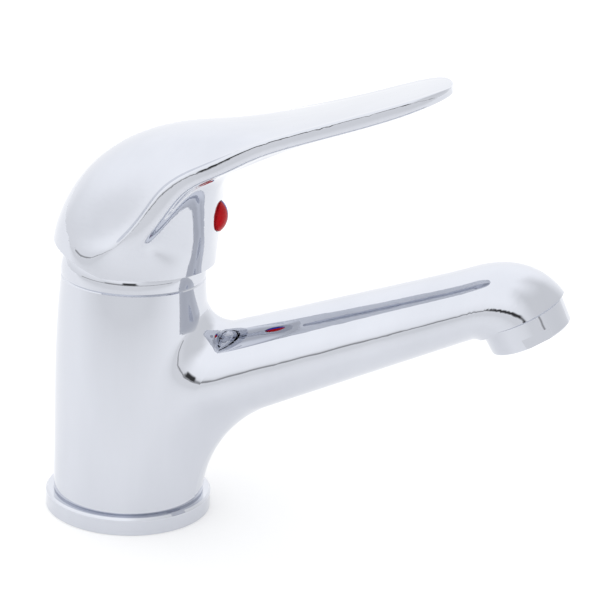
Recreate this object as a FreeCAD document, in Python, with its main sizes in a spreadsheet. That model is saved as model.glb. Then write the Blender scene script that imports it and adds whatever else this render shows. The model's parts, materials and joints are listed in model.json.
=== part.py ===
import FreeCAD, Part
import math
import os
from types import SimpleNamespace

import Sketcher

# Single-lever basin mixer. Millimetres, +Z up, +X along the spout, origin in the middle of the underside.

Vec = FreeCAD.Vector

SIZES = [
    # base ring and its seals
    ("ring_dia", 55.0),
    ("ring_height", 5.8),
    ("ring_chamfer", 0.7),
    ("spigot_dia", 40.6),
    ("spigot_floor", 0.8),
    ("fit_gap", 0.2),
    ("gasket_width", 3.5),
    ("gasket_height", 1.8),
    ("spigot_seal_z", 3.1),
    ("seal_cord", 2.0),
    # column of the body
    ("column_dia", 50.0),
    ("column_top_dia", 47.0),
    ("column_top", 80.7),
    ("taper_start", 46.0),
    ("column_edge", 0.6),
    # spout
    ("spout_slope", 21.7),
    ("spout_root_z", 37.8),
    ("spout_start", 6.0),
    ("spout_root_height", 34.6),
    ("spout_root_width", 36.6),
    ("spout_end_height", 21.6),
    ("spout_end_width", 31.4),
    ("spout_length", 115.4),
    ("spout_wall", 3.0),
    ("neck_radius", 7.0),
    ("keel_radius", 42.0),
    ("nose_corner", 1.6),
    ("nose_reach", 33.0),
    ("nose_angle", 32.0),
    # water ways and fixings in the body
    ("seat_z", 48.0),
    ("inlet_x", 6.0),
    ("inlet_y", 9.4),
    ("inlet_thread_dia", 9.0),
    ("inlet_thread_depth", 15.0),
    ("inlet_boss_dia", 15.0),
    ("port_dia", 6.0),
    ("outlet_x", -6.0),
    ("outlet_dia", 8.0),
    ("outlet_drop", 16.0),
    ("passage_dia", 10.0),
    ("passage_slope", 20.0),
    ("cavity_start", 31.0),
    ("stud_x", -11.5),
    ("stud_thread_dia", 6.8),
    ("stud_depth", 22.0),
    ("stud_boss_dia", 13.0),
    ("recess_dia", 32.0),
    ("recess_core_dia", 42.8),
    ("recess_shelf", 8.0),
    ("recess_top", 22.0),
    ("peg_dia", 4.0),
    ("peg_height", 2.0),
    ("peg_x", -11.5),
    ("peg_y", 9.0),
    # cartridge
    ("cartridge_dia", 40.0),
    ("cartridge_gap", 0.3),
    ("base_flange", 3.0),
    ("base_height", 5.5),
    ("port_seal_cord", 1.6),
    ("port_seal_room", 0.6),
    ("fixed_disc_dia", 34.8),
    ("disc_gap", 0.4),
    ("fixed_disc_height", 4.0),
    ("moving_disc_dia", 29.2),
    ("moving_disc_height", 4.3),
    ("mixing_length", 15.0),
    ("mixing_width", 23.0),
    ("mixing_depth", 2.4),
    ("mixing_shift", -2.0),
    ("carrier_plate", 1.4),
    ("carrier_height", 5.8),
    ("carrier_side_inset", 4.2),
    ("carrier_end_inset", 4.1),
    ("slide_gap", 0.3),
    ("housing_shoulder", 72.0),
    ("housing_top", 86.5),
    ("collar_dia", 30.0),
    ("rotor_dia", 26.0),
    ("rotor_flange_gap", 0.7),
    ("rotor_flange", 2.0),
    ("rotor_rail_length", 18.0),
    ("rotor_rail_width", 2.4),
    ("rotor_rail_drop", 4.4),
    ("rotor_slot_length", 17.0),
    ("rotor_recess", 0.5),
    ("pin_dia", 3.0),
    ("pin_gap", 0.05),
    ("pin_length", 24.0),
    # lever stem
    ("pivot_z", 77.3),
    ("stem_arm", 11.5),
    ("stem_lean", 12.5),
    ("stem_square", 8.0),
    ("stem_hub_dia", 10.0),
    ("stem_length", 31.0),
    ("stem_neck_dia", 5.2),
    ("ball_dia", 6.8),
    # retaining nut and cover
    ("nut_thread_dia", 42.0),
    ("nut_hex", 34.0),
    ("nut_hex_height", 4.0),
    ("cover_skirt", 1.6),
    ("cover_wall", 1.6),
    ("cover_height", 11.0),
    ("cover_hole_dia", 34.6),
    ("cover_edge", 0.4),
    ("cover_seal_dia", 41.6),
    ("cover_seal_cord", 2.0),
    # handle
    ("hub_dia", 53.0),
    ("hub_bottom", 86.5),
    ("hub_lean", 1.1),
    ("corner_z", 113.0),
    ("dome_x", 27.0),
    ("dome_z", 133.2),
    ("lever_reach", 98.7),
    ("lever_edge_z", 130.8),
    ("lever_tip_z", 149.9),
    ("lever_root_width", 44.8),
    ("lever_waist_width", 32.8),
    ("lip_height", 4.6),
    ("hood_lip_height", 6.4),
    ("hood_rim", 1.2),
    ("hood_valley", 4.5),
    ("lever_start", 42.0),
    ("lever_tilt", 14.0),
    ("lever_crown", 1.9),
    ("lever_belly", 3.5),
    ("lever_rim", 0.7),
    ("lever_valley", 2.5),
    ("relief_x", -5.0),
    ("relief_angle", 17.0),
    ("cavity_dia", 46.8),
    ("cavity_straight", 5.0),
    ("boss_dia", 17.0),
    ("boss_bottom", 19.0),
    ("web_width", 11.0),
    ("socket_gap", 0.15),
    ("screw_z", 102.5),
    ("screw_dia", 6.0),
    ("screw_length", 10.0),
    ("screw_key", 3.0),
    ("screw_key_depth", 4.0),
    ("index_dia", 9.8),
    ("index_proud", 3.1),
    ("index_seat", 0.9),
    ("index_peg_dia", 7.0),
    ("index_peg_length", 4.5),
    ("index_rim", 0.9),
    # aerator
    ("aerator_tilt", 28.6),
    ("aerator_dia", 28.0),
    ("aerator_rim_dia", 27.2),
    ("aerator_height", 8.7),
    ("aerator_thread_dia", 23.6),
    ("aerator_thread", 4.5),
    ("aerator_bore_dia", 21.2),
    ("aerator_lip_dia", 19.2),
    ("aerator_lip", 1.2),
    ("aerator_edge", 0.4),
    ("aerator_seam", 0.4),
    ("aerator_recess", 2.9),
    ("spot_dia", 32.4),
    ("outlet_bore_dia", 17.0),
    ("flat_width", 25.6),
    ("flat_height", 3.5),
    ("flat_turn", 17.0),
    ("washer_height", 1.5),
    ("washer_inner_dia", 17.6),
    ("insert_dia", 20.6),
    ("grid_height", 2.6),
    ("grid_hole_dia", 2.6),
    ("grid_pitch", 3.9),
    ("mixer_height", 7.0),
    ("mixer_wall", 1.6),
    ("mixer_hole_dia", 2.0),
    ("mixer_hole_ring", 10.0),
    ("air_slot", 2.4),
    ("screen_height", 1.4),
    ("screen_bar", 0.8),
    ("screen_rim", 1.6),
]

doc = FreeCAD.newDocument("basin_mixer")
sheet = doc.addObject("Spreadsheet::Sheet", "Dims")
for line, (alias, value) in enumerate(SIZES, start=1):
    sheet.set(f"A{line}", alias)
    sheet.set(f"B{line}", str(value))
    sheet.setAlias(f"B{line}", alias)
doc.recompute()


class Size:
    """A length or angle from the sheet: its value now, and the expression that keeps it true."""

    def __init__(self, value, text):
        self.value = value
        self.text = text

    def combine(self, other, sign, value):
        return Size(value, f"({self.text} {sign} {size(other).text})")

    def __add__(self, other):
        return self.combine(other, "+", self.value + size(other).value)

    def __sub__(self, other):
        return self.combine(other, "-", self.value - size(other).value)

    def __mul__(self, other):
        return self.combine(other, "*", self.value * size(other).value)

    def __truediv__(self, other):
        return self.combine(other, "/", self.value / size(other).value)

    def __neg__(self):
        return Size(-self.value, f"(0 - {self.text})")


def size(number):
    """A plain number as a Size."""
    return number if isinstance(number, Size) else Size(float(number), repr(float(number)))


def sine(angle):
    return Size(math.sin(math.radians(angle.value)), f"sin({angle.text})")


def cosine(angle):
    return Size(math.cos(math.radians(angle.value)), f"cos({angle.text})")


ZERO = size(0)
d = SimpleNamespace(**{alias: Size(sheet.get(alias), f"Dims.{alias}") for alias, _ in SIZES})
parts = []


# Helpers that keep features tied to the sheet

def bind(obj, **props):
    """Tie properties of an object to sizes."""
    for name, value in props.items():
        obj.setExpression(name.replace("__", "."), size(value).text)
    return obj


def place(obj, x=ZERO, y=ZERO, z=ZERO):
    """Tie an object's place to sizes."""
    return bind(obj, Placement__Base__x=x, Placement__Base__y=y, Placement__Base__z=z)


def turn(obj, angle, axis=Vec(0, 1, 0)):
    """Turn an object about an axis through its own origin, by a size in degrees."""
    obj.Placement = FreeCAD.Placement(obj.Placement.Base, FreeCAD.Rotation(axis, 1))
    return bind(obj, Placement__Rotation__Angle=angle)


def finish(obj, label):
    """Name an object as one sub-part of the faucet."""
    obj.Label = label
    parts.append(obj)
    return obj


def cylinder(name, dia, height, x=ZERO, y=ZERO, z=ZERO):
    obj = doc.addObject("Part::Cylinder", name)
    bind(obj, Radius=size(dia) / 2, Height=height)
    return place(obj, x, y, z)


def box(name, length, width, height, x=ZERO, y=ZERO, z=ZERO):
    """A block centred on x and y, standing on z."""
    obj = doc.addObject("Part::Box", name)
    bind(obj, Length=length, Width=width, Height=height)
    return place(obj, size(x) - size(length) / 2, size(y) - size(width) / 2, z)


def crossbar(name, dia, length, z=ZERO):
    """A cylinder along Y, centred on y = 0."""
    obj = cylinder(name, dia, length)
    return place(turn(obj, size(90), Vec(1, 0, 0)), ZERO, size(length) / 2, z)


def hexagon(name, across_flats, height, x=ZERO, y=ZERO, z=ZERO):
    """A six-sided bar standing on z."""
    obj = doc.addObject("Part::Prism", name)
    obj.Polygon = 6
    bind(obj, Circumradius=size(across_flats) / (cosine(size(30)) * 2), Height=height)
    return place(obj, x, y, z)


def torus(name, middle_dia, cord, x=ZERO, y=ZERO, z=ZERO):
    obj = doc.addObject("Part::Torus", name)
    bind(obj, Radius1=size(middle_dia) / 2, Radius2=size(cord) / 2)
    return place(obj, x, y, z)


def fuse(name, *shapes):
    obj = doc.addObject("Part::MultiFuse", name)
    obj.Shapes = list(shapes)
    return obj


def cut(name, base, *tools):
    obj = doc.addObject("Part::Cut", name)
    obj.Base = base
    obj.Tool = tools[0] if len(tools) == 1 else fuse(name + "_tools", *tools)
    return obj


def common(name, *shapes):
    obj = doc.addObject("Part::MultiCommon", name)
    obj.Shapes = list(shapes)
    return obj


def group(name, *shapes):
    obj = doc.addObject("Part::Compound", name)
    obj.Links = list(shapes)
    return obj


def sketch_on(body, role, name):
    """A sketch on one of the body's own origin planes."""
    sketch = body.newObject("Sketcher::SketchObject", name)
    plane = next(f for f in body.Origin.OriginFeatures if f.Role == role)
    sketch.AttachmentSupport = [(plane, "")]
    sketch.MapMode = "FlatFace"
    return sketch


def pin_point(sketch, edge, end, x, y):
    """Hold the start or end of an edge at x, y."""
    for kind, value, axis in (("DistanceX", x, -2), ("DistanceY", y, -1)):
        if value.value == 0:
            sketch.addConstraint(Sketcher.Constraint("PointOnObject", edge, end, axis))
            continue
        row = sketch.addConstraint(Sketcher.Constraint(kind, -1, 1, edge, end, value.value))
        sketch.setExpression(f"Constraints[{row}]", value.text)


def arc_between(start, end, radius):
    """The arc from start to end with its centre on the left of the run, or on the right if radius < 0."""
    run = end - start
    reach = math.sqrt(max(radius * radius - run.Length ** 2 / 4, 0.0))
    left = Vec(-run.y, run.x, 0).normalize()
    centre = start + run * 0.5 + left * math.copysign(reach, radius)
    first, last = (start, end) if radius > 0 else (end, start)
    from_angle = math.atan2(first.y - centre.y, first.x - centre.x)
    to_angle = math.atan2(last.y - centre.y, last.x - centre.x)
    circle = Part.Circle(centre, Vec(0, 0, 1), abs(radius))
    return Part.ArcOfCircle(circle, from_angle, to_angle if to_angle > from_angle else to_angle + 2 * math.pi)


def outline(sketch, points, arcs=None):
    """A closed outline through points; arcs maps the number of a run to its radius, as in arc_between."""
    arcs = arcs or {}
    points = [(size(x), size(y)) for x, y in points]
    corners = [Vec(x.value, y.value, 0) for x, y in points]
    ends = []
    for run, start in enumerate(corners):
        end = corners[(run + 1) % len(corners)]
        if run in arcs:
            radius = size(arcs[run])
            edge = sketch.addGeometry(arc_between(start, end, radius.value))
            ends.append((edge, 1, 2) if radius.value > 0 else (edge, 2, 1))
        else:
            edge = sketch.addGeometry(Part.LineSegment(start, end))
            ends.append((edge, 1, 2))
    for run, (edge, start, _) in enumerate(ends):
        before, _, last = ends[run - 1]
        sketch.addConstraint(Sketcher.Constraint("Coincident", before, last, edge, start))
        pin_point(sketch, edge, start, *points[run])
    for run, radius in arcs.items():
        value = size(radius)
        text = value.text if value.value > 0 else (-value).text
        row = sketch.addConstraint(Sketcher.Constraint("Radius", ends[run][0], abs(value.value)))
        sketch.setExpression(f"Constraints[{row}]", text)


def turned(label, points, arcs=None):
    """A body turned about Z from an outline of (radius, height) points."""
    body = doc.addObject("PartDesign::Body", label)
    sketch = sketch_on(body, "XZ_Plane", label + "_profile")
    outline(sketch, points, arcs)
    feature = body.newObject("PartDesign::Revolution", label + "_turn")
    feature.Profile = sketch
    feature.ReferenceAxis = (sketch, ["V_Axis"])
    feature.Angle = 360
    body.Tip = feature
    return body


# Smooth skins over rows of control points

def skin_solid(name, rows):
    """A closed solid whose side is one smooth surface over rows of control points.

    Each row is a closed loop, mirrored about y = 0, that starts at the crown. The surface is split
    along y = 0, and its two ends are flat."""
    count = len(rows[0])
    surface = Part.BSplineSurface()
    spans = len(rows) - 3
    surface.buildFromPolesMultsKnots(
        rows, [4] + [1] * (spans - 1) + [4], [1] * (count + 1),
        [float(i) for i in range(spans + 1)], [float(i) for i in range(count + 1)], False, True, 3, 3)
    first, last = surface.bounds()[:2]
    under, crown = count // 2 - 1, count - 1
    faces = []
    rims = {first: [], last: []}
    for start, end in ((under, crown), (crown, under + count)):
        half = surface.copy()
        half.segment(first, last, float(start), float(end))
        faces.append(half.toShape())
        for station, rim in rims.items():
            rim.append(half.uIso(station).toShape())
    faces += [Part.Face(Part.Wire(rim)) for rim in rims.values()]
    shell = Part.makeShell(faces)
    shell.sewShape()
    solid = Part.Solid(shell)
    if solid.Volume < 0:
        solid.reverse()
    obj = doc.addObject("Part::Feature", name)
    obj.Shape = solid
    return obj


def mirrored_loop(middle, up, half):
    """A closed loop of points from half an outline of (side, height) pairs, crown first."""
    near = [middle + up * height + Vec(0, -side, 0) for side, height in half]
    far = [middle + up * height + Vec(0, side, 0) for side, height in half[-2:0:-1]]
    return near + far


def oval_half(half_width, half_height, steps):
    """Half an oval's control points, grown so that the smooth curve has the given half sizes."""
    grow = 3 / (2 + math.cos(math.pi / steps))
    angles = [math.pi * step / steps for step in range(steps + 1)]
    return [(half_width * grow * math.sin(a), half_height * grow * math.cos(a)) for a in angles]


# Sizes that several pieces share

PAST = 1.0
CUT_REACH = 80.0

ring_bore_dia = d.spigot_dia + d.fit_gap * 2
bore_dia = d.cartridge_dia + d.cartridge_gap * 2
disc_floor = d.seat_z + d.base_height
disc_face = disc_floor + d.fixed_disc_height
carrier_floor = disc_face + d.moving_disc_height
carrier_top = carrier_floor + d.carrier_height
rotor_floor = carrier_top + d.slide_gap
housing_roof = rotor_floor + d.rotor_flange + d.slide_gap
slide_rest = -(d.stem_arm * sine(d.stem_lean))
disc_bore_dia = d.fixed_disc_dia + d.disc_gap * 2
slide_bore_dia = d.moving_disc_dia + (d.slide_gap - slide_rest) * 2
carrier_width = d.moving_disc_dia - d.carrier_side_inset * 2
outlet_floor = d.seat_z - d.outlet_drop

spout_cos = cosine(d.spout_slope)
spout_sin = sine(d.spout_slope)
fan_drop = d.spout_end_height / 2 + d.nose_corner
fan_x = spout_cos * d.spout_length + spout_sin * fan_drop
fan_z = d.spout_root_z + spout_sin * d.spout_length - spout_cos * fan_drop
nose_middle = (d.nose_reach + d.nose_corner) / 2
nose_x = fan_x + cosine(d.nose_angle) * nose_middle
nose_z = fan_z + sine(d.nose_angle) * nose_middle
aerator_drop = d.aerator_height + d.aerator_seam - d.aerator_recess
aerator_x = nose_x + sine(d.aerator_tilt) * aerator_drop
aerator_z = nose_z - cosine(d.aerator_tilt) * aerator_drop


def on_aerator(obj, y=ZERO):
    """Stand a piece on the middle of the aerator's lower rim, along the aerator's axis."""
    return place(turn(obj, -d.aerator_tilt), aerator_x, y, aerator_z)


def on_stem(obj, x=ZERO, y=ZERO, z=ZERO):
    """Stand a piece in the frame of the leaning stem, whose origin is the lever's pivot."""
    lean_cos, lean_sin = cosine(d.stem_lean), sine(d.stem_lean)
    turn(obj, d.stem_lean)
    return place(obj, lean_cos * x + lean_sin * z, y, d.pivot_z - lean_sin * x + lean_cos * z)


# Base ring with its gasket and o-ring

def make_base():
    outer = d.ring_dia / 2
    inner = ring_bore_dia / 2
    gasket_inner = (inner + outer - d.gasket_width) / 2
    gasket_outer = gasket_inner + d.gasket_width
    groove_inner = gasket_inner - d.fit_gap
    groove_outer = gasket_outer + d.fit_gap
    finish(turned("base_ring", [
        (inner, ZERO), (groove_inner, ZERO), (groove_inner, d.gasket_height), (groove_outer, d.gasket_height),
        (groove_outer, ZERO), (outer, ZERO), (outer, d.ring_height - d.ring_chamfer),
        (outer - d.ring_chamfer, d.ring_height), (inner, d.ring_height)]), "base_ring")
    finish(turned("base_gasket", [
        (gasket_inner, ZERO), (gasket_outer, ZERO), (gasket_outer, d.gasket_height),
        (gasket_inner, d.gasket_height)]), "base_gasket")
    seal = torus("base_o_ring", d.spigot_dia + d.fit_gap - d.seal_cord, d.seal_cord, z=d.spigot_seal_z)
    finish(seal, "base_o_ring")


# Cast body: column, spout and the water ways in them

def spout_rows(wall):
    """Rows of control points for the spout's skin, drawn in by a wall thickness."""
    steps = 6
    slope = math.radians(d.spout_slope.value)
    along = Vec(math.cos(slope), 0, math.sin(slope))
    up = Vec(-math.sin(slope), 0, math.cos(slope))
    foot = Vec(0, 0, d.spout_root_z.value)
    start = d.cavity_start.value if wall else d.spout_start.value
    length = d.spout_length.value
    rows = []
    stations = 5
    for station in range(stations):
        reach = start + (length - start) * station / (stations - 1)
        share = reach / length
        height = d.spout_root_height.value * (1 - share) + d.spout_end_height.value * share
        width = d.spout_root_width.value * (1 - share) + d.spout_end_width.value * share
        half = oval_half(width / 2 - wall, height / 2 - wall, steps)
        rows.append(mirrored_loop(foot + along * reach, up, half))
    if wall:
        return rows
    fan = Vec(fan_x.value, 0, fan_z.value)
    inner = d.nose_corner.value
    first = inner + d.spout_end_height.value
    turns = 7
    for count in range(1, turns + 1):
        share = count / turns
        swing = math.radians((90 + d.spout_slope.value) * (1 - share) + d.nose_angle.value * share)
        outer = first + (d.nose_reach.value - first) * (3 * share ** 2 - 2 * share ** 3)
        out = Vec(math.cos(swing), 0, math.sin(swing))
        half = oval_half(d.spout_end_width.value / 2, (outer - inner) / 2, steps)
        rows.append(mirrored_loop(fan + out * ((outer + inner) / 2), out, half))
    return rows


def blend_edges(shape):
    """The edges where the spout's skin leaves the column, each with its number."""
    found = []
    radius = d.column_dia.value / 2
    for number, edge in enumerate(shape.Edges, start=1):
        middle = edge.valueAt((edge.FirstParameter + edge.LastParameter) / 2)
        off_axis = math.hypot(middle.x, middle.y)
        between = d.ring_height.value + PAST < middle.z < d.column_top.value - PAST
        if between and abs(off_axis - radius) < 2 and middle.x > 0 and abs(middle.y) > PAST:
            found.append((number, edge))
    return found


def make_body():
    column_r = d.column_dia / 2
    top_r = d.column_top_dia / 2
    spigot_r = d.spigot_dia / 2
    groove_r = spigot_r - d.seal_cord
    taper = d.column_top - d.cover_edge - d.taper_start
    narrowing = column_r - top_r
    taper_radius = (taper * taper + narrowing * narrowing) / (narrowing * 2)
    column = turned("column", [
        (ZERO, d.spigot_floor), (spigot_r, d.spigot_floor), (spigot_r, d.spigot_seal_z - d.seal_cord / 2),
        (groove_r, d.spigot_seal_z - d.seal_cord / 2), (groove_r, d.spigot_seal_z + d.seal_cord / 2),
        (spigot_r, d.spigot_seal_z + d.seal_cord / 2), (spigot_r, d.ring_height),
        (column_r - d.column_edge, d.ring_height), (column_r, d.ring_height + d.column_edge),
        (column_r, d.taper_start), (top_r, d.column_top - d.cover_edge), (top_r - d.cover_edge, d.column_top),
        (ZERO, d.column_top)], {9: taper_radius})
    column.Placement = FreeCAD.Placement(Vec(), FreeCAD.Rotation(Vec(0, 0, 1), 180))
    spout = skin_solid("spout_skin", spout_rows(0))
    casting = fuse("casting", column, spout)
    doc.recompute()

    blended = doc.addObject("Part::Fillet", "blended_casting")
    blended.Base = casting
    neck, keel = d.neck_radius.value, d.keel_radius.value
    edges = blend_edges(casting.Shape)
    heights = [edge.valueAt(p).z for _, edge in edges for p in (edge.FirstParameter, edge.LastParameter)]
    lowest, highest = min(heights), max(heights)

    def radius_at(height):
        return keel + (neck - keel) * (height - lowest) / (highest - lowest)

    blended.Edges = [(number, radius_at(edge.valueAt(edge.FirstParameter).z),
                      radius_at(edge.valueAt(edge.LastParameter).z)) for number, edge in edges]

    chamber = turned("chamber", [
        (ZERO, d.seat_z), (bore_dia / 2, d.seat_z), (bore_dia / 2, d.housing_shoulder),
        (d.nut_thread_dia / 2, d.housing_shoulder), (d.nut_thread_dia / 2, d.column_top + PAST),
        (ZERO, d.column_top + PAST)])
    below = d.spigot_floor - PAST
    hollow = turned("hollow", [
        (ZERO, below), (d.recess_dia / 2, below), (d.recess_dia / 2, d.recess_shelf),
        (d.recess_core_dia / 2, d.recess_shelf), (d.recess_core_dia / 2, d.recess_top), (ZERO, d.recess_top)])
    bosses = [cylinder("stud_boss", d.stud_boss_dia, d.recess_top, x=d.stud_x)]
    tools = [chamber]
    for side, sign in (("hot", -1), ("cold", 1)):
        y = d.inlet_y * sign
        bosses.append(cylinder(f"{side}_boss", d.inlet_boss_dia, d.recess_top, x=d.inlet_x, y=y))
        tools.append(cylinder(f"{side}_inlet", d.inlet_thread_dia, d.inlet_thread_depth + PAST,
                              x=d.inlet_x, y=y, z=below))
        tools.append(cylinder(f"{side}_riser", d.port_dia, d.seat_z - d.spigot_floor, x=d.inlet_x, y=y,
                              z=d.spigot_floor))
        tools.append(cylinder(f"{side}_peg_hole", d.peg_dia + d.fit_gap * 2, d.peg_height + d.fit_gap + PAST,
                              x=d.peg_x, y=d.peg_y * sign, z=d.seat_z - d.peg_height - d.fit_gap))
    tools.append(cut("underside", hollow, *bosses))
    tools.append(cylinder("stud_hole", d.stud_thread_dia, d.stud_depth + PAST, x=d.stud_x, z=below))
    tools.append(cylinder("outlet", d.outlet_dia, d.outlet_drop + PAST, x=d.outlet_x, z=outlet_floor))
    passage = cylinder("passage", d.passage_dia, d.cavity_start + d.cartridge_dia / 2)
    tools.append(place(turn(passage, size(90) - d.passage_slope), d.outlet_x, ZERO, outlet_floor))
    tools.append(skin_solid("spout_cavity", spout_rows(d.spout_wall.value)))
    seat = d.aerator_height + d.aerator_seam
    socket_top = d.aerator_height + d.aerator_thread + d.washer_height
    spot = turned("aerator_socket", [
        (ZERO, ZERO), (d.spot_dia / 2, ZERO), (d.spot_dia / 2, seat),
        (d.aerator_thread_dia / 2 + d.fit_gap, seat), (d.aerator_thread_dia / 2 + d.fit_gap, socket_top),
        (d.outlet_bore_dia / 2, socket_top), (d.outlet_bore_dia / 2, socket_top + d.aerator_recess),
        (ZERO, socket_top + d.aerator_recess)])
    tools.append(on_aerator(spot))
    trim = box("nose_trim", d.spot_dia, d.spot_dia, seat)
    tools.append(on_aerator(trim, -(d.spot_dia / 2)))
    finish(cut("faucet_body", blended, *tools), "faucet_body")


# Cartridge that mixes and stops the water

PORTS = [
    ("hot", d.inlet_x, -d.inlet_y, d.port_dia),
    ("cold", d.inlet_x, d.inlet_y, d.port_dia),
    ("outlet", d.outlet_x, ZERO, d.outlet_dia),
]


def make_cartridge_base():
    flange_r = d.cartridge_dia / 2 - d.cartridge_gap
    rim_r = disc_bore_dia / 2 - d.fit_gap
    step = d.seat_z + d.base_flange
    blank = turned("base_blank", [
        (ZERO, d.seat_z), (flange_r, d.seat_z), (flange_r, step), (rim_r, step), (rim_r, disc_floor),
        (ZERO, disc_floor)])
    pegs = [cylinder(f"{side}_peg", d.peg_dia, d.peg_height + PAST, x=d.peg_x, y=d.peg_y * sign,
                     z=d.seat_z - d.peg_height) for side, sign in (("hot", -1), ("cold", 1))]
    tools, lower, upper = [], [], []
    cord = d.port_seal_cord
    for name, x, y, dia in PORTS:
        seal_dia = dia + cord + d.port_seal_room
        groove_dia = seal_dia + cord + d.fit_gap * 2
        tools.append(cylinder(f"{name}_base_port", dia, d.base_height + PAST * 2, x, y, d.seat_z - PAST))
        tools.append(cylinder(f"{name}_lower_groove", groove_dia, cord + PAST, x, y, d.seat_z - PAST))
        tools.append(cylinder(f"{name}_upper_groove", groove_dia, cord + PAST, x, y, disc_floor - cord))
        lower.append(torus(f"{name}_lower_seal", seal_dia, cord, x, y, d.seat_z + cord / 2))
        upper.append(torus(f"{name}_upper_seal", seal_dia, cord, x, y, disc_floor - cord / 2))
    finish(cut("cartridge_base", fuse("base_with_pegs", blank, *pegs), *tools), "cartridge_base")
    finish(group("seat_seals", *lower), "seat_seals")
    finish(group("disc_seals", *upper), "disc_seals")


def make_discs():
    fixed = cylinder("fixed_blank", d.fixed_disc_dia, d.fixed_disc_height, z=disc_floor)
    ports = [cylinder(f"{name}_disc_port", dia, d.fixed_disc_height + PAST * 2, x, y, disc_floor - PAST)
             for name, x, y, dia in PORTS]
    finish(cut("fixed_ceramic_disc", fixed, *ports), "fixed_ceramic_disc")

    reach = (d.mixing_length * d.mixing_length + d.mixing_width * d.mixing_width) / (d.mixing_length * 4)
    offset = reach - d.mixing_length / 2
    middle = slide_rest + d.mixing_shift
    lens = [cylinder(f"pocket_{side}", reach * 2, d.mixing_depth + PAST, x=middle + offset * sign,
                     z=disc_face - PAST) for side, sign in (("front", -1), ("back", 1))]
    moving = cylinder("moving_blank", d.moving_disc_dia, d.moving_disc_height, x=slide_rest, z=disc_face)
    finish(cut("moving_ceramic_disc", moving, common("mixing_pocket", *lens)), "moving_ceramic_disc")

    plate = cylinder("carrier_plate", d.moving_disc_dia, d.carrier_plate, x=slide_rest, z=carrier_floor)
    length = d.moving_disc_dia - d.carrier_end_inset * 2
    block = box("carrier_block", length, carrier_width, d.carrier_height, x=slide_rest, z=carrier_floor)
    hole = cylinder("ball_hole", d.ball_dia + d.slide_gap * 2, d.carrier_height + PAST * 2, x=slide_rest,
                    z=carrier_floor - PAST)
    finish(cut("disc_carrier", fuse("carrier_blank", plate, block), hole), "disc_carrier")


def make_rotor():
    top = d.housing_top - d.rotor_recess
    rotor_r = d.rotor_dia / 2
    flange_r = slide_bore_dia / 2 - d.rotor_flange_gap
    flange_top = rotor_floor + d.rotor_flange
    core = turned("rotor_core", [
        (ZERO, rotor_floor), (flange_r, rotor_floor), (flange_r, flange_top), (rotor_r, flange_top),
        (rotor_r, top), (ZERO, top)])
    rail_y = carrier_width / 2 + d.slide_gap + d.rotor_rail_width / 2
    rails = [box(f"{side}_rail", d.rotor_rail_length, d.rotor_rail_width, d.rotor_rail_drop + d.rotor_flange,
                 y=rail_y * sign, z=rotor_floor - d.rotor_rail_drop)
             for side, sign in (("hot", -1), ("cold", 1))]
    slot = box("rotor_slot", d.rotor_slot_length, d.stem_square + d.slide_gap * 2,
               top - rotor_floor + PAST * 2, z=rotor_floor - PAST)
    pin_hole = crossbar("rotor_pin_hole", d.pin_dia + d.pin_gap * 2, d.rotor_dia + PAST * 2, z=d.pivot_z)
    finish(cut("cartridge_rotor", fuse("rotor_blank", core, *rails), slot, pin_hole), "cartridge_rotor")
    finish(crossbar("pivot_pin", d.pin_dia, d.pin_length, z=d.pivot_z), "pivot_pin")


def make_stem():
    shank = box("stem_shank", d.stem_square, d.stem_square, d.stem_length)
    hub = crossbar("stem_hub", d.stem_hub_dia, d.stem_square)
    neck = cylinder("stem_neck", d.stem_neck_dia, d.stem_arm, z=-d.stem_arm)
    ball = doc.addObject("Part::Sphere", "stem_ball")
    bind(ball, Radius=d.ball_dia / 2)
    place(ball, z=-d.stem_arm)
    hole = crossbar("stem_pin_hole", d.pin_dia + d.pin_gap * 2, d.stem_square + PAST * 2)
    stem = cut("lever_stem", fuse("stem_blank", shank, hub, neck, ball), hole)
    finish(on_stem(stem), "lever_stem")


def make_housing():
    bore_r = disc_bore_dia / 2
    slide_r = slide_bore_dia / 2
    outer_r = d.cartridge_dia / 2
    collar_r = d.collar_dia / 2
    rotor_bore_r = d.rotor_dia / 2 + d.slide_gap
    floor = d.seat_z + d.base_flange
    step = disc_face + d.fit_gap
    finish(turned("cartridge_housing", [
        (bore_r, floor), (outer_r, floor), (outer_r, d.housing_shoulder), (collar_r, d.housing_shoulder),
        (collar_r, d.housing_top), (rotor_bore_r, d.housing_top), (rotor_bore_r, housing_roof),
        (slide_r, housing_roof), (slide_r, step), (bore_r, step)]), "cartridge_housing")


# Retaining nut and the cover over it

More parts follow.
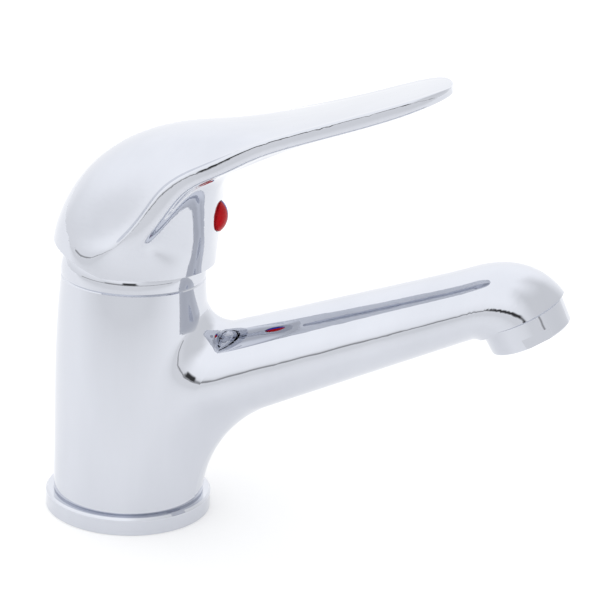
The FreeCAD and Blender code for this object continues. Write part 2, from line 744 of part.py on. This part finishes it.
def make_cover():
    thread = cylinder("nut_thread", d.nut_thread_dia - d.fit_gap, d.column_top - d.housing_shoulder,
                      z=d.housing_shoulder)
    hexed = hexagon("nut_hex", d.nut_hex, d.nut_hex_height, z=d.column_top)
    hole = cylinder("nut_hole", d.collar_dia + d.cartridge_gap * 2, d.column_top - d.housing_shoulder
                    + d.nut_hex_height + PAST * 2, z=d.housing_shoulder - PAST)
    finish(cut("cartridge_nut", fuse("nut_blank", thread, hexed), hole), "cartridge_nut")
    seal = torus("cover_o_ring", d.cover_seal_dia, d.cover_seal_cord, z=d.column_top + d.cover_seal_cord / 2)
    finish(seal, "cover_o_ring")

    skirt_r = d.column_top_dia / 2
    hole_r = d.cover_hole_dia / 2
    skirt_top = d.column_top + d.cover_skirt
    rise = d.cover_height - d.cover_skirt
    narrowing = skirt_r - hole_r
    outer = (rise * rise + narrowing * narrowing) / (narrowing * 2)
    inner = outer - d.cover_wall
    middle = skirt_r - outer
    share = inner / outer
    finish(turned("dome_cover", [
        (skirt_r - d.cover_edge, d.column_top), (skirt_r, d.column_top + d.cover_edge), (skirt_r, skirt_top),
        (hole_r, d.column_top + d.cover_height),
        (middle + (hole_r - middle) * share, skirt_top + rise * share),
        (skirt_r - d.cover_wall, skirt_top), (skirt_r - d.cover_wall, d.column_top)],
        {2: outer, 4: -inner}), "dome_cover")


# Handle: a hood over the cover that runs out into the lever

HOOD = [
    # angle round the crown, hub front wall (out, up), then shares: ridge, half width, lip, rim, valley;
    # then the dome's power, belly, side and how far the section has left the plain oval
    (0, (0.0, 0.0), 0.5, 1.0, 0.0, 0.0, 0.0, 1.0, 0.0, 0.0, 0.0),
    (8, (0.25, 0.19), 0.48, 1.0, 0.7, 0.2, 0.3, 0.75, 0.75, 1.08, 0.0),
    (15, (0.5, 0.35), 0.46, 1.01, 1.0, 2.0, 0.75, 0.75, 0.72, 1.08, 0.9),
    (25, (0.7, 0.547), 0.385, 1.019, 1.0, 1.8, 0.85, 0.75, 0.68, 1.06, 1.0),
    (38, (1.0, 0.774), 0.34, 1.026, 1.0, 1.3, 0.95, 0.75, 0.63, 1.02, 1.0),
    (51, (1.45, 0.962), 0.327, 1.015, 1.0, 1.0, 1.0, 0.8, 0.6, 0.98, 1.0),
    (64, (2.8, 1.106), 0.31, 0.995, 0.95, 0.833, 1.0, 0.85, 0.6, 0.96, 1.0),
    (77, (5.0, 1.204), 0.31, 0.975, 0.88, 0.833, 0.889, 0.9, 0.65, 0.95, 1.0),
    (90, (8.2, 1.298), 0.37, 0.93, 0.8, 0.75, 0.778, 0.9, 0.75, 0.93, 1.0),
]
LEVER = [
    # shares: reach, rise, widening to the root, waist, crown above the lip, belly, lip
    (0.0, 0.0, 1.0, 1.0, 1.0, 1.0, 1.0),
    (0.175, 0.168, 0.567, 1.0, 0.474, 0.629, 0.96),
    (0.385, 0.367, 0.167, 1.0, 0.263, 0.457, 0.96),
    (0.594, 0.581, 0.0, 1.0, 0.211, 0.371, 0.96),
    (0.787, 0.801, 0.0, 0.97, 0.158, 0.143, 0.88),
    (0.918, 0.958, 0.0, 0.787, 0.105, 0.029, 0.74),
    (0.983, 1.013, 0.0, 0.488, 0.053, 0.029, 0.58),
    (1.0, 1.012, 0.0, 0.146, 0.0, 0.0, 0.42),
]
DOME_POWER = 0.93


def lipped_half(half_width, up, down, lip, rim, valley, dome, belly, side):
    """Half a section of the handle, crown first: dome, valley, raised lip, then the underside."""
    inside = half_width - valley
    edge = half_width + rim
    shelf = lip * 0.5
    arch = [(inside * math.sin(a), shelf + (up - shelf) * math.cos(a) ** dome)
            for a in map(math.radians, (25, 47, 68))]
    return [(0.0, up)] + arch + [
        (inside + valley * 0.35, lip * 0.51), (edge - rim * 0.1, lip * 0.55), (edge, lip * 0.36),
        (edge, -lip * 0.5), (inside * side, -lip * 0.6), (inside * 0.80, -belly * down),
        (inside * 0.42, -down), (0.0, -down)]


def lipped_row(crown, inner, share, **section):
    """A row of the handle's skin in the plane through a crown point and an inner point."""
    length = (crown - inner).Length
    out = (crown - inner) * (1 / length)
    half = lipped_half(up=(1 - share) * length, down=share * length, **section)
    return mirrored_loop(inner + out * (length * share), out, half)


def handle_rows():
    """Rows of control points for the handle's skin, from the hub's lower edge to the lever's tip."""
    hub_r = d.hub_dia.value / 2
    floor = d.hub_bottom.value
    across = hub_r + d.dome_x.value
    rise = d.dome_z.value - floor
    wall_rise = d.corner_z.value - floor
    rows = []
    for angle, wall, share, width, lip, rim, valley, dome, belly, side, blend in HOOD:
        swing = math.radians(angle)
        crown = Vec(d.dome_x.value - across * max(math.cos(swing), 0) ** DOME_POWER, 0,
                    floor + rise * math.sin(swing) ** DOME_POWER)
        inner = Vec(hub_r + d.hub_lean.value * wall[0], 0, floor + wall_rise * wall[1])
        section = lipped_row(crown, inner, share, half_width=width * hub_r, lip=lip * d.hood_lip_height.value,
                             rim=rim * d.hood_rim.value, valley=valley * d.hood_valley.value, dome=dome,
                             belly=belly, side=side)
        half_length = (crown - inner).Length / 2
        ring = mirrored_loop((crown + inner) * 0.5, (crown - inner).normalize(),
                             oval_half(width * hub_r, half_length, len(section) // 2))
        rows.append([p * (1 - blend) + q * blend for p, q in zip(ring, section)])
    tilt = math.radians(d.lever_tilt.value)
    start = d.lever_start.value
    up = Vec(-math.sin(tilt), 0, math.cos(tilt))
    waist = d.lever_waist_width.value / 2
    widening = d.lever_root_width.value / 2 - waist
    for reach, rise, root, narrow, crown, belly, lip in LEVER:
        half_lip = d.lip_height.value * lip / 2
        ridge = Vec(start + (d.lever_reach.value - start) * reach, 0,
                    d.lever_edge_z.value + (d.lever_tip_z.value - d.lever_edge_z.value) * rise)
        over = crown * d.lever_crown.value + half_lip
        under = belly * d.lever_belly.value + half_lip
        half_width = (waist + widening * root) * narrow
        valley = min(d.lever_valley.value, half_width * 0.2)
        rows.append(lipped_row(ridge + up * over, ridge - up * under, under / (over + under),
                               half_width=half_width, lip=half_lip * 2, rim=d.lever_rim.value, valley=valley,
                               dome=0.9, belly=0.85, side=0.95))
    return rows


def make_handle():
    skin = skin_solid("handle_skin", handle_rows())
    relief = box("relief", CUT_REACH / 2, CUT_REACH, CUT_REACH / 4)
    lean_cos, lean_sin = cosine(d.relief_angle), sine(d.relief_angle)
    place(turn(relief, d.relief_angle), d.relief_x - lean_cos * (CUT_REACH / 2) - lean_sin * (CUT_REACH / 4),
          size(-CUT_REACH / 2), d.hub_bottom + lean_sin * (CUT_REACH / 2) - lean_cos * (CUT_REACH / 4))

    cavity_r = d.cavity_dia / 2
    dome_start = d.hub_bottom + d.cavity_straight
    bowl = turned("bowl", [
        (ZERO, d.hub_bottom - PAST), (cavity_r, d.hub_bottom - PAST), (cavity_r, dome_start),
        (ZERO, dome_start + cavity_r)], {2: cavity_r})
    boss = on_stem(cylinder("boss", d.boss_dia, CUT_REACH / 2), z=d.boss_bottom)
    web = box("web", d.hub_dia / 2, d.web_width, CUT_REACH / 2, x=d.hub_dia / 4,
              z=d.screw_z - d.web_width / 2)
    cavity = cut("cavity", bowl, boss, web)

    socket_side = d.stem_square + d.socket_gap * 2
    socket = box("socket", socket_side, socket_side, d.stem_length - d.boss_bottom + PAST * 2)
    on_stem(socket, -(socket_side / 2), -(socket_side / 2), d.boss_bottom - PAST)

    index_x = d.hub_dia / 2 + d.hub_lean / 2 - d.index_seat
    screw_hole = cylinder("screw_hole", d.screw_dia + d.pin_gap * 2, index_x)
    peg_hole = cylinder("index_hole", d.index_peg_dia + d.fit_gap, d.index_peg_length + d.fit_gap + PAST)
    spot = cylinder("index_spot", d.index_dia + d.fit_gap * 2, CUT_REACH / 4)
    for obj, x in ((screw_hole, ZERO), (peg_hole, index_x - d.index_peg_length - d.fit_gap), (spot, index_x)):
        place(turn(obj, size(90)), x, ZERO, d.screw_z)
    finish(cut("lever_handle", skin, relief, cavity, socket, screw_hole, peg_hole, spot), "lever_handle")

    lean_tan = sine(d.stem_lean) / cosine(d.stem_lean)
    stem_face = lean_tan * (d.screw_z - d.pivot_z + d.screw_dia / 2) + d.stem_square / 2 / cosine(d.stem_lean)
    screw = cylinder("screw_blank", d.screw_dia, d.screw_length)
    key = hexagon("screw_key", d.screw_key, d.screw_key_depth + PAST)
    for obj, x in ((screw, stem_face), (key, stem_face + d.screw_length - d.screw_key_depth)):
        place(turn(obj, size(90)), x, ZERO, d.screw_z)
    finish(cut("set_screw", screw, key), "set_screw")

    head_r = d.index_dia / 2
    rim_top = d.index_peg_length + d.index_seat + d.index_rim
    bulge = d.index_proud - d.index_rim
    dome_radius = (head_r * head_r + bulge * bulge) / (bulge * 2)
    plug = turned("index_plug", [
        (ZERO, ZERO), (d.index_peg_dia / 2, ZERO), (d.index_peg_dia / 2, d.index_peg_length),
        (head_r, d.index_peg_length), (head_r, rim_top), (ZERO, rim_top + bulge)], {4: dome_radius})
    place(turn(plug, size(90)), index_x - d.index_peg_length, ZERO, d.screw_z)
    for side, sign in (("hot", -1), ("cold", 1)):
        half = box(f"{side}_half", CUT_REACH, d.index_dia, CUT_REACH / 4, y=d.index_dia * sign / 2,
                   z=d.screw_z - CUT_REACH / 8)
        finish(common(f"index_{side}", plug, half), f"index_{side}")


# Aerator screwed into the end of the spout

def make_aerator():
    rim_r = d.aerator_rim_dia / 2
    top_r = d.aerator_dia / 2
    thread_r = d.aerator_thread_dia / 2
    bore_r = d.aerator_bore_dia / 2
    lip_r = d.aerator_lip_dia / 2
    thread_top = d.aerator_height + d.aerator_thread
    shell = turned("aerator_shell", [
        (lip_r, ZERO), (rim_r - d.aerator_edge, ZERO), (rim_r, d.aerator_edge),
        (top_r, d.aerator_height - d.aerator_edge), (top_r - d.aerator_edge, d.aerator_height),
        (thread_r, d.aerator_height), (thread_r, thread_top), (bore_r, thread_top), (bore_r, d.aerator_lip),
        (lip_r, d.aerator_lip)])
    flats = [box(f"flat_{side}", d.aerator_dia, d.aerator_dia, d.flat_height + PAST,
                 y=(d.flat_width + d.aerator_dia) * sign / 2, z=size(-PAST))
             for side, sign in (("near", -1), ("far", 1))]
    spanner = turn(fuse("spanner_flats", *flats), d.flat_turn, Vec(0, 0, 1))
    finish(on_aerator(cut("aerator_housing", shell, spanner)), "aerator_housing")

    washer_r = thread_r - d.fit_gap
    washer_top = thread_top + d.washer_height
    finish(on_aerator(turned("aerator_washer", [
        (d.washer_inner_dia / 2, thread_top), (washer_r, thread_top), (washer_r, washer_top),
        (d.washer_inner_dia / 2, washer_top)])), "aerator_washer")

    grid_floor = d.aerator_lip
    plate = cylinder("grid_plate", d.insert_dia, d.grid_height, z=grid_floor)
    holes = []
    rings = 2
    for row in range(-rings, rings + 1):
        for column in range(-rings, rings + 1):
            if abs(row + column) <= rings:
                holes.append(cylinder(f"grid_hole_{len(holes)}", d.grid_hole_dia, d.grid_height + PAST * 2,
                                      x=d.grid_pitch * (column + row / 2),
                                      y=d.grid_pitch * cosine(size(30)) * row, z=grid_floor - PAST))
    finish(on_aerator(cut("aerator_grid", plate, *holes)), "aerator_grid")

    mixer_floor = grid_floor + d.grid_height
    mixer_top = mixer_floor + d.mixer_height
    insert_r = d.insert_dia / 2
    cup = turned("mixer_cup", [
        (insert_r - d.mixer_wall, mixer_floor), (insert_r, mixer_floor), (insert_r, mixer_top),
        (ZERO, mixer_top), (ZERO, mixer_top - d.mixer_wall),
        (insert_r - d.mixer_wall, mixer_top - d.mixer_wall)])
    openings = [cylinder("mixer_hole_middle", d.mixer_hole_dia, d.mixer_height, z=mixer_floor + PAST)]
    count = 6
    ring_r = d.mixer_hole_ring / 2
    for step in range(count):
        angle = size(360 * step / count)
        openings.append(cylinder(f"mixer_hole_{step}", d.mixer_hole_dia, d.mixer_height,
                                 x=cosine(angle) * ring_r, y=sine(angle) * ring_r, z=mixer_floor + PAST))
    openings.append(box("air_slot_x", d.insert_dia + PAST, d.air_slot, d.air_slot, z=mixer_floor))
    openings.append(box("air_slot_y", d.air_slot, d.insert_dia + PAST, d.air_slot, z=mixer_floor))
    finish(on_aerator(cut("aerator_mixer", cup, *openings)), "aerator_mixer")

    rim = turned("screen_rim", [
        (insert_r - d.screen_rim, mixer_top), (insert_r, mixer_top), (insert_r, mixer_top + d.screen_height),
        (insert_r - d.screen_rim, mixer_top + d.screen_height)])
    bars = []
    for step in range(-2, 3):
        offset = d.grid_pitch * step
        length = size(2 * math.sqrt(insert_r.value ** 2 - offset.value ** 2)) - d.screen_rim
        bars.append(box(f"screen_bar_x{step + 2}", length, d.screen_bar, d.screen_height, y=offset,
                        z=mixer_top))
        bars.append(box(f"screen_bar_y{step + 2}", d.screen_bar, length, d.screen_height, x=offset,
                        z=mixer_top))
    finish(on_aerator(fuse("aerator_screen", rim, *bars)), "aerator_screen")


for make in (make_base, make_body, make_cartridge_base, make_discs, make_rotor, make_stem, make_housing,
             make_cover, make_handle, make_aerator):
    make()
doc.recompute()

faulty = [obj.Name for obj in doc.Objects if {"Invalid", "Error"} & set(obj.State)]
if faulty:
    raise RuntimeError(f"features that failed: {faulty}")
for obj in parts:
    if obj.Shape.isNull() or not obj.Shape.isValid():
        raise RuntimeError(f"bad shape: {obj.Label}")
os.makedirs("parts", exist_ok=True)
for obj in parts:
    obj.Shape.exportStep(f"parts/{obj.Label}.step")
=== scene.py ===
import json
import math
from typing import NamedTuple

import bpy
from mathutils import Matrix, Vector

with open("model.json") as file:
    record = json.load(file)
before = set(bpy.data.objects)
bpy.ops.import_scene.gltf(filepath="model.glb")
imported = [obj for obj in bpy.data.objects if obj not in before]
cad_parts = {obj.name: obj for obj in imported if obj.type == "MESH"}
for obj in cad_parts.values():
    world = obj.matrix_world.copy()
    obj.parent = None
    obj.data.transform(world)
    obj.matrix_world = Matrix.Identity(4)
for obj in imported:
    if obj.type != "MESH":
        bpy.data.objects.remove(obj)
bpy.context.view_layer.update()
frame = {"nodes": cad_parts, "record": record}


# Camera: fitted to the photograph's view

FRAME = 600
FOCAL = 2093.08
CENTRE = (314.98, 321.81)
TARGET = Vector((0.060, 0.0, 0.070))
DISTANCE = 0.67445
AZIMUTH, ELEVATION, ROLL = 7.37, 19.35, 3.126
SENSOR_WIDTH = 36.0
NEAR_CLIP = 0.01


def look_from(azimuth, elevation, roll):
    """The camera's right, up and forward directions, angles in degrees."""
    a, e, r = (math.radians(v) for v in (azimuth, elevation, roll))
    forward = Vector((-math.sin(a) * math.cos(e), math.cos(a) * math.cos(e), -math.sin(e)))
    right = Vector((math.cos(a), math.sin(a), 0.0))
    up = right.cross(forward)
    return right * math.cos(r) + up * math.sin(r), up * math.cos(r) - right * math.sin(r), forward


def add_camera():
    right, up, forward = look_from(AZIMUTH, ELEVATION, ROLL)
    data = bpy.data.cameras.new("view")
    data.sensor_width = SENSOR_WIDTH
    data.lens = FOCAL / FRAME * SENSOR_WIDTH
    data.shift_x = (FRAME / 2 - CENTRE[0]) / FRAME
    data.shift_y = (CENTRE[1] - FRAME / 2) / FRAME
    data.clip_start = NEAR_CLIP
    camera = bpy.data.objects.new("view", data)
    bpy.context.scene.collection.objects.link(camera)
    pose = Matrix((right, up, -forward)).transposed().to_4x4()
    pose.translation = TARGET - forward * DISTANCE
    camera.matrix_world = pose
    bpy.context.scene.camera = camera


add_camera()


# Node trees

class Tree:
    """A node tree, with short ways to add and join nodes."""

    def __init__(self, owner):
        owner.use_nodes = True
        self.tree = owner.node_tree

    def add(self, kind, inputs=None, **settings):
        node = self.tree.nodes.new(kind)
        for key, value in settings.items():
            setattr(node, key, value)
        for key, value in (inputs or {}).items():
            self.feed(node.inputs[key], value)
        return node

    def feed(self, socket, value):
        """Join a socket to an output, or set it to a plain value."""
        if isinstance(value, bpy.types.NodeSocket):
            self.tree.links.new(value, socket)
        else:
            socket.default_value = value

    def remap(self, value, span, to, curve="LINEAR"):
        """Map a value from one range to another, held at its ends."""
        inputs = {"Value": value, "From Min": span[0], "From Max": span[1], "To Min": to[0], "To Max": to[1]}
        return self.add("ShaderNodeMapRange", inputs, interpolation_type=curve).outputs["Result"]


# Materials

NOISE_SPAN = (0.3, 0.7)


class Finish(Tree):
    """A material around one shader."""

    def __init__(self, name):
        self.material = bpy.data.materials.new(name)
        super().__init__(self.material)
        self.shader = self.tree.nodes["Principled BSDF"]

    def set(self, **values):
        for key, value in values.items():
            self.feed(self.shader.inputs[key.replace("_", " ")], value)

    def place(self, stretch=(1, 1, 1)):
        """The object's own coordinates, stretched."""
        coords = self.add("ShaderNodeTexCoord").outputs["Object"]
        return self.add("ShaderNodeMapping", {"Vector": coords, "Scale": stretch}).outputs["Vector"]

    def noise(self, scale, detail=3.0, rough=0.5, stretch=(1, 1, 1)):
        inputs = {"Vector": self.place(stretch), "Scale": scale, "Detail": detail, "Roughness": rough}
        return self.add("ShaderNodeTexNoise", inputs).outputs["Fac"]

    def between(self, noise, low, high):
        return self.remap(noise, NOISE_SPAN, (low, high))

    def tint(self, noise, low, high):
        ramp = self.add("ShaderNodeValToRGB", {"Fac": noise})
        for element, position, colour in zip(ramp.color_ramp.elements, NOISE_SPAN, (low, high)):
            element.position = position
            element.color = (*colour, 1)
        return ramp.outputs["Color"]

    def bump(self, height, distance, strength):
        inputs = {"Height": height, "Distance": distance, "Strength": strength}
        self.set(Normal=self.add("ShaderNodeBump", inputs).outputs["Normal"])


def chrome():
    """Plated and polished: faint wiping marks in the gloss, hardly any in the shape."""
    m = Finish("chrome_plate")
    smear = m.noise(scale=38.0, detail=4.0, rough=0.6, stretch=(1.0, 1.0, 0.25))
    m.set(Base_Color=m.tint(smear, (0.615, 0.633, 0.685), (0.655, 0.673, 0.725)), Metallic=1.0)
    m.set(Roughness=m.between(smear, 0.015, 0.045))
    m.bump(m.noise(scale=900.0, detail=2.0), distance=0.00001, strength=0.015)
    return m.material


def rubber():
    """Moulded seal rubber: matt black with a fine grain."""
    m = Finish("seal_rubber")
    grain = m.noise(scale=2400.0)
    m.set(Base_Color=m.tint(grain, (0.012, 0.012, 0.013), (0.035, 0.035, 0.037)))
    m.set(Roughness=m.between(grain, 0.55, 0.75))
    m.bump(grain, distance=0.00004, strength=0.4)
    return m.material


def moulded(name, low, high, rough, gloss=0.5):
    """Moulded plastic: a fine even grain and slow drift of shade."""
    m = Finish(name)
    grain = m.noise(scale=1500.0)
    m.set(Specular_IOR_Level=gloss)
    m.set(Base_Color=m.tint(m.noise(scale=60.0), low, high))
    m.set(Roughness=m.between(grain, rough - 0.06, rough + 0.06))
    m.bump(grain, distance=0.00002, strength=0.25)
    return m.material


def ceramic():
    """Lapped ceramic: pale, glossy, with faint speckle."""
    m = Finish("lapped_ceramic")
    speck = m.noise(scale=3000.0, detail=2.0)
    m.set(Base_Color=m.tint(speck, (0.84, 0.83, 0.79), (0.93, 0.92, 0.89)))
    m.set(Roughness=m.between(speck, 0.12, 0.2))
    return m.material


def drawn_steel():
    """Drawn steel with fine lines along Y."""
    m = Finish("plain_steel")
    line = m.noise(scale=900.0, rough=0.6, stretch=(1.0, 0.05, 1.0))
    m.set(Base_Color=m.tint(line, (0.52, 0.52, 0.52), (0.66, 0.66, 0.65)), Metallic=1.0)
    m.set(Roughness=m.between(line, 0.22, 0.36))
    m.bump(line, distance=0.00002, strength=0.3)
    return m.material


def turned_brass():
    """Machined brass with fine turning lines stacked along Z."""
    m = Finish("turned_brass")
    line = m.noise(scale=700.0, rough=0.6, stretch=(0.05, 0.05, 1.0))
    m.set(Base_Color=m.tint(line, (0.62, 0.42, 0.16), (0.78, 0.58, 0.28)), Metallic=1.0)
    m.set(Roughness=m.between(line, 0.2, 0.34))
    m.bump(line, distance=0.00002, strength=0.35)
    return m.material


FINISHES = {
    "chrome": chrome(),
    "seal_rubber": rubber(),
    "cartridge_plastic": moulded("cartridge_acetal", (0.74, 0.75, 0.72), (0.84, 0.85, 0.82), rough=0.42),
    "ceramic": ceramic(),
    "steel": drawn_steel(),
    "brass": turned_brass(),
    "insert_plastic": moulded("insert_acetal", (0.62, 0.63, 0.62), (0.72, 0.73, 0.71), rough=0.4),
    "index_red": moulded("index_red", (0.42, 0.001, 0.005), (0.50, 0.002, 0.007), rough=0.3, gloss=0.12),
    "index_blue": moulded("index_blue", (0.004, 0.02, 0.30), (0.008, 0.03, 0.38), rough=0.3, gloss=0.12),
}
for part in frame["record"]["subparts"]:
    mesh = frame["nodes"][part["node"]].data
    mesh.materials.clear()
    mesh.materials.append(FINISHES[part["material_slot"]])


# Studio: a pale floor with a painted glow, stronger round the part where it lifts the part's shadow and
# dimmer towards the camera, in a white tent with grey panels

FLOOR_HALF = 6.0
FLOOR_TOP = -0.0002
FLOOR_FADE_Y = (-0.35, -0.08)
# emission strength of the floor's painted glow: towards the camera, and round the part where it lifts the
# part's shadow
FLOOR_PAINTED_GLOW = (0.06, 0.29)

TENT_HEIGHTS = (-10.0, 40.0)
TENT_SHADES = (1.12, 1.28)
TENT_RED, TENT_GREEN = 0.985, 0.99


class Panel(NamedTuple):
    """An area of the tent, in degrees: side is 0 towards -Y and 90 towards +X, height is 0 level."""
    side: tuple
    height: tuple
    soft: float
    shade: float


PANELS = [
    # right of the part
    Panel(side=(24, 146), height=(-4, 66), soft=20.0, shade=0.88),
    # left of the part, low down
    Panel(side=(-120, -36), height=(-30, 8), soft=14.0, shade=1.0),
    # behind the camera, low down, and darker just above the floor
    Panel(side=(-40, 60), height=(-3, 7), soft=5.0, shade=0.95),
    Panel(side=(-32, 20), height=(0, 4), soft=2.0, shade=0.35),
    # straight behind the camera: the dark line over the handle's lip
    Panel(side=(-4, 17), height=(0.5, 9), soft=2.5, shade=0.05),
    # edge of the floor
    Panel(side=(-75, 75), height=(0, 1.6), soft=0.6, shade=0.4),
]


def add_floor():
    corners = [(x * FLOOR_HALF, y * FLOOR_HALF, FLOOR_TOP) for x, y in ((-1, -1), (1, -1), (1, 1), (-1, 1))]
    mesh = bpy.data.meshes.new("floor")
    mesh.from_pydata(corners, [], [(0, 1, 2, 3)])
    floor = bpy.data.objects.new("floor", mesh)
    bpy.context.scene.collection.objects.link(floor)
    m = Finish("floor_with_painted_glow")
    depth = m.add("ShaderNodeSeparateXYZ", {"Vector": m.place()}).outputs["Y"]
    # painted light: the floor glows, more round the part to wash out its shadow, less towards the camera
    m.set(Base_Color=(0.75, 0.75, 0.75, 1), Roughness=0.8, Emission_Color=(1, 1, 1, 1),
          Emission_Strength=m.remap(depth, FLOOR_FADE_Y, FLOOR_PAINTED_GLOW))
    mesh.materials.append(m.material)


class Sky(Tree):
    """The world's node tree: a pale tent, with panels laid over it by direction."""

    def __init__(self):
        self.world = bpy.data.worlds.new("studio")
        super().__init__(self.world)
        coords = self.add("ShaderNodeTexCoord").outputs["Generated"]
        axes = self.add("ShaderNodeSeparateXYZ", {"Vector": coords}).outputs
        towards_camera = self.math("MULTIPLY", axes["Y"], -1.0)
        self.side = self.math("DEGREES", self.math("ARCTAN2", axes["X"], towards_camera))
        self.height = self.math("DEGREES", self.math("ARCSINE", axes["Z"]))

    def math(self, operation, *values):
        return self.add("ShaderNodeMath", dict(enumerate(values)), operation=operation).outputs[0]

    def ramp(self, value, span, to):
        return self.remap(value, span, to, "SMOOTHSTEP")

    def band(self, value, ends, soft):
        """1 between the ends, fading to 0 over the softness on each side."""
        rise = self.ramp(value, (ends[0] - soft, ends[0] + soft), (0.0, 1.0))
        fall = self.ramp(value, (ends[1] - soft, ends[1] + soft), (1.0, 0.0))
        return self.math("MULTIPLY", rise, fall)

    def paint(self):
        shade = self.ramp(self.height, TENT_HEIGHTS, TENT_SHADES)
        for panel in PANELS:
            mask = self.math("MULTIPLY", self.band(self.side, panel.side, panel.soft),
                             self.band(self.height, panel.height, panel.soft))
            shade = self.math("MULTIPLY_ADD", self.math("SUBTRACT", panel.shade, shade), mask, shade)
        colour = self.add("ShaderNodeCombineColor", {
            "Red": self.math("MULTIPLY", shade, TENT_RED),
            "Green": self.math("MULTIPLY", shade, TENT_GREEN),
            "Blue": shade})
        self.feed(self.tree.nodes["Background"].inputs["Color"], colour.outputs["Color"])
        bpy.context.scene.world = self.world


add_floor()
Sky().paint()
bpy.context.scene.view_settings.view_transform = "Standard"
